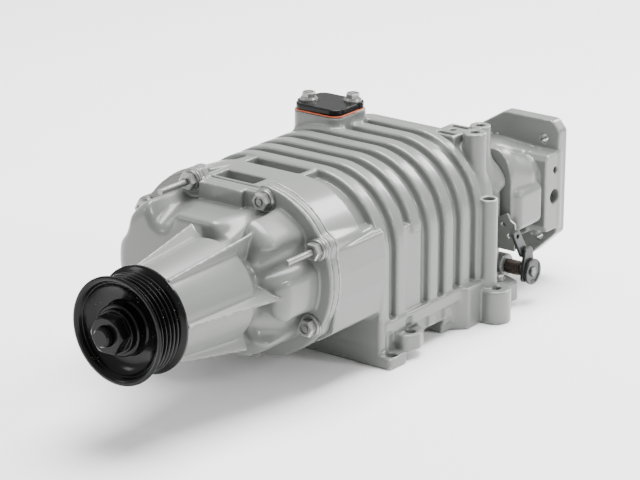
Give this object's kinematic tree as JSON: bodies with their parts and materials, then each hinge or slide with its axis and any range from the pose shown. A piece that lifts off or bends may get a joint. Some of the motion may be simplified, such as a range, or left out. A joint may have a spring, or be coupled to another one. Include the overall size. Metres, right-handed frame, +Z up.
{
  "type": "supercharger",
  "caption": "Belt-driven twin-rotor engine supercharger with a long finned snout, ribbed rotor housing on a base, rear inlet flange and a bypass valve.",
  "frame": {"origin": "middle of the underside of the part's bounding box, in the plane of the base's underside", "axes": "+Z up from the base, +Y towards the inlet flange along the rotor axes, -Y towards the belt pulley, +X towards the side with the pulley and the bypass lever"},
  "size_m": [0.1954, 0.4244, 0.1425],
  "materials": {
    "cast_paint": "grey-green satin enamel over a sand casting, softly blended edges",
    "black_gloss": "gloss black enamel, worn bright on the sharpest edges",
    "zinc_steel": "zinc-plated steel, dull and slightly blotchy",
    "ground_steel": "turned and ground steel",
    "bare_aluminium": "machined aluminium",
    "seal_rubber": "black nitrile rubber",
    "gasket_red": "orange-red gasket, matt",
    "dark_steel": "dark grey oxide-finished steel",
    "spring_steel": "dark brown oiled spring steel"
  },
  "bodies": {
    "housing": {"shaft_seal": "seal_rubber", "snout_bearing_front": "ground_steel", "bearing_spacer": "ground_steel", "snout_bearing_rear": "ground_steel", "front_cover": "cast_paint", "oil_fill_plug": "zinc_steel", "bearing_plate": "bare_aluminium", "drive_front_bearing": "ground_steel", "drive_rear_bearing": "ground_steel", "driven_front_bearing": "ground_steel", "driven_rear_bearing": "ground_steel", "rotor_housing": "cast_paint", "inlet_elbow": "cast_paint", "stud_bolt_1": "zinc_steel", "cover_bolt_2": "zinc_steel", "stud_bolt_3": "zinc_steel", "cover_bolt_4": "zinc_steel", "cover_bolt_5": "zinc_steel", "cover_bolt_6": "zinc_steel", "cover_bolt_7": "zinc_steel", "cover_bolt_8": "zinc_steel", "port_gasket": "gasket_red", "port_cover": "black_gloss", "port_bolt_1": "dark_steel", "port_bolt_2": "dark_steel", "elbow_screw_1": "zinc_steel", "elbow_screw_2": "zinc_steel", "elbow_screw_3": "zinc_steel", "elbow_screw_4": "zinc_steel", "bypass_body": "cast_paint", "return_spring": "spring_steel"},
    "drive": {"pulley": "black_gloss", "pulley_nut": "black_gloss", "input_shaft": "ground_steel", "coupling_disc": "dark_steel", "drive_gear": "ground_steel", "drive_rotor": "bare_aluminium"},
    "driven": {"driven_gear": "ground_steel", "driven_rotor": "bare_aluminium"},
    "bypass": {"bypass_shaft": "ground_steel", "bypass_disc": "bare_aluminium", "bypass_lever": "dark_steel", "bypass_arm": "black_gloss", "lever_wheel": "dark_steel"}
  },
  "joints": [
    {"name": "drive_spin", "type": "hinge", "parent": "housing", "child": "drive", "pos_m": [0.027, 0, 0.072], "axis": [0, -1, 0], "continuous": true},
    {"name": "driven_spin", "type": "hinge", "parent": "housing", "child": "driven", "pos_m": [-0.027, 0, 0.072], "axis": [0, -1, 0], "continuous": true},
    {"name": "bypass_valve", "type": "hinge", "parent": "housing", "child": "bypass", "pos_m": [0.084, 0.15425, 0.023], "axis": [-1, 0, 0], "range_deg": [0, 75], "stiffness_Nm_per_rad": 0.05, "springref_deg": -22.92}
  ],
  "couplings": [
    {"joint": "driven_spin", "follows": "drive_spin", "ratio": -1}
  ]
}
